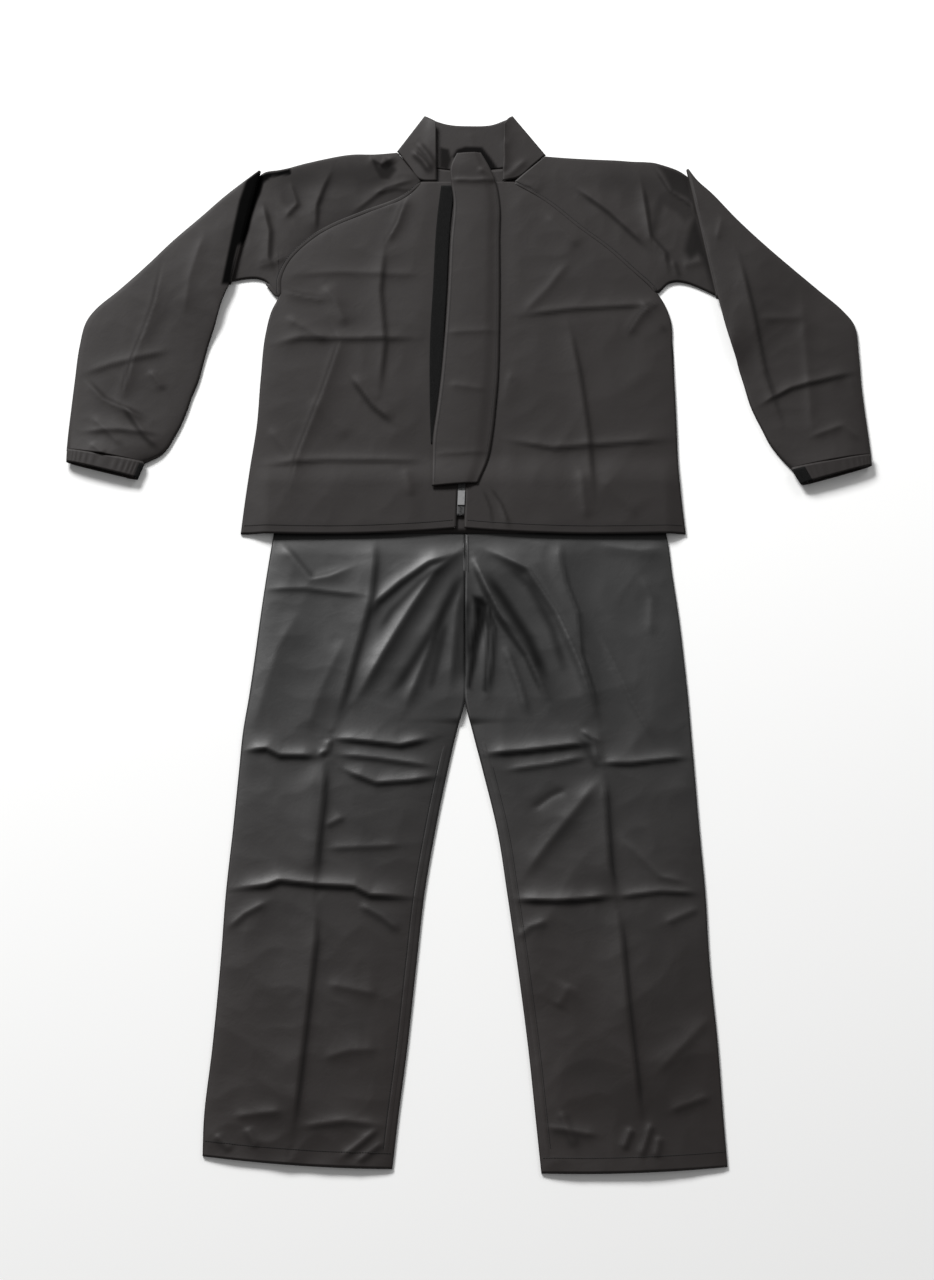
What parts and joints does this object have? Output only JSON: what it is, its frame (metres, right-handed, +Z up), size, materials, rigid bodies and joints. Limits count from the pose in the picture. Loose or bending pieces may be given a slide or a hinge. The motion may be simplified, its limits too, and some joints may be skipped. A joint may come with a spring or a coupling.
{
  "type": "rain suit laid flat",
  "caption": "Two-piece rain suit laid flat: raglan jacket with stand collar, storm flap and elastic cuffs, over straight trousers.",
  "frame": {"origin": "on the surface that the suit lies on, under the middle of its box", "axes": "+Z up from the surface; +Y from the trouser hems to the collar; +X towards the wearer's left, the viewer's right"},
  "size_m": [1.222, 1.7166, 0.0169],
  "materials": {
    "jacket_cloth": "matt coated woven",
    "trouser_cloth": "satin coated woven",
    "hook_tape": "matt hook-and-loop pile",
    "zip_tape": "matt woven tape",
    "zip_end_film": "satin film",
    "zip_slider_metal": "satin black"
  },
  "bodies": {
    "root": {"trousers_back_right": "trouser_cloth", "trousers_back_left": "trouser_cloth", "trousers_front_right": "trouser_cloth", "trousers_front_left": "trouser_cloth", "waistband": "trouser_cloth", "jacket_back": "jacket_cloth", "jacket_front_right": "jacket_cloth", "jacket_front_left": "jacket_cloth", "sleeve_right": "jacket_cloth", "sleeve_left": "jacket_cloth", "cuff_right": "jacket_cloth", "cuff_left": "jacket_cloth", "cuff_tab_right": "hook_tape", "cuff_tab_left": "hook_tape", "collar": "jacket_cloth", "storm_flap": "jacket_cloth", "hook_tape": "hook_tape", "zip": "zip_tape", "zip_end": "zip_end_film", "zip_slider": "zip_slider_metal"}
  },
  "joints": []
}
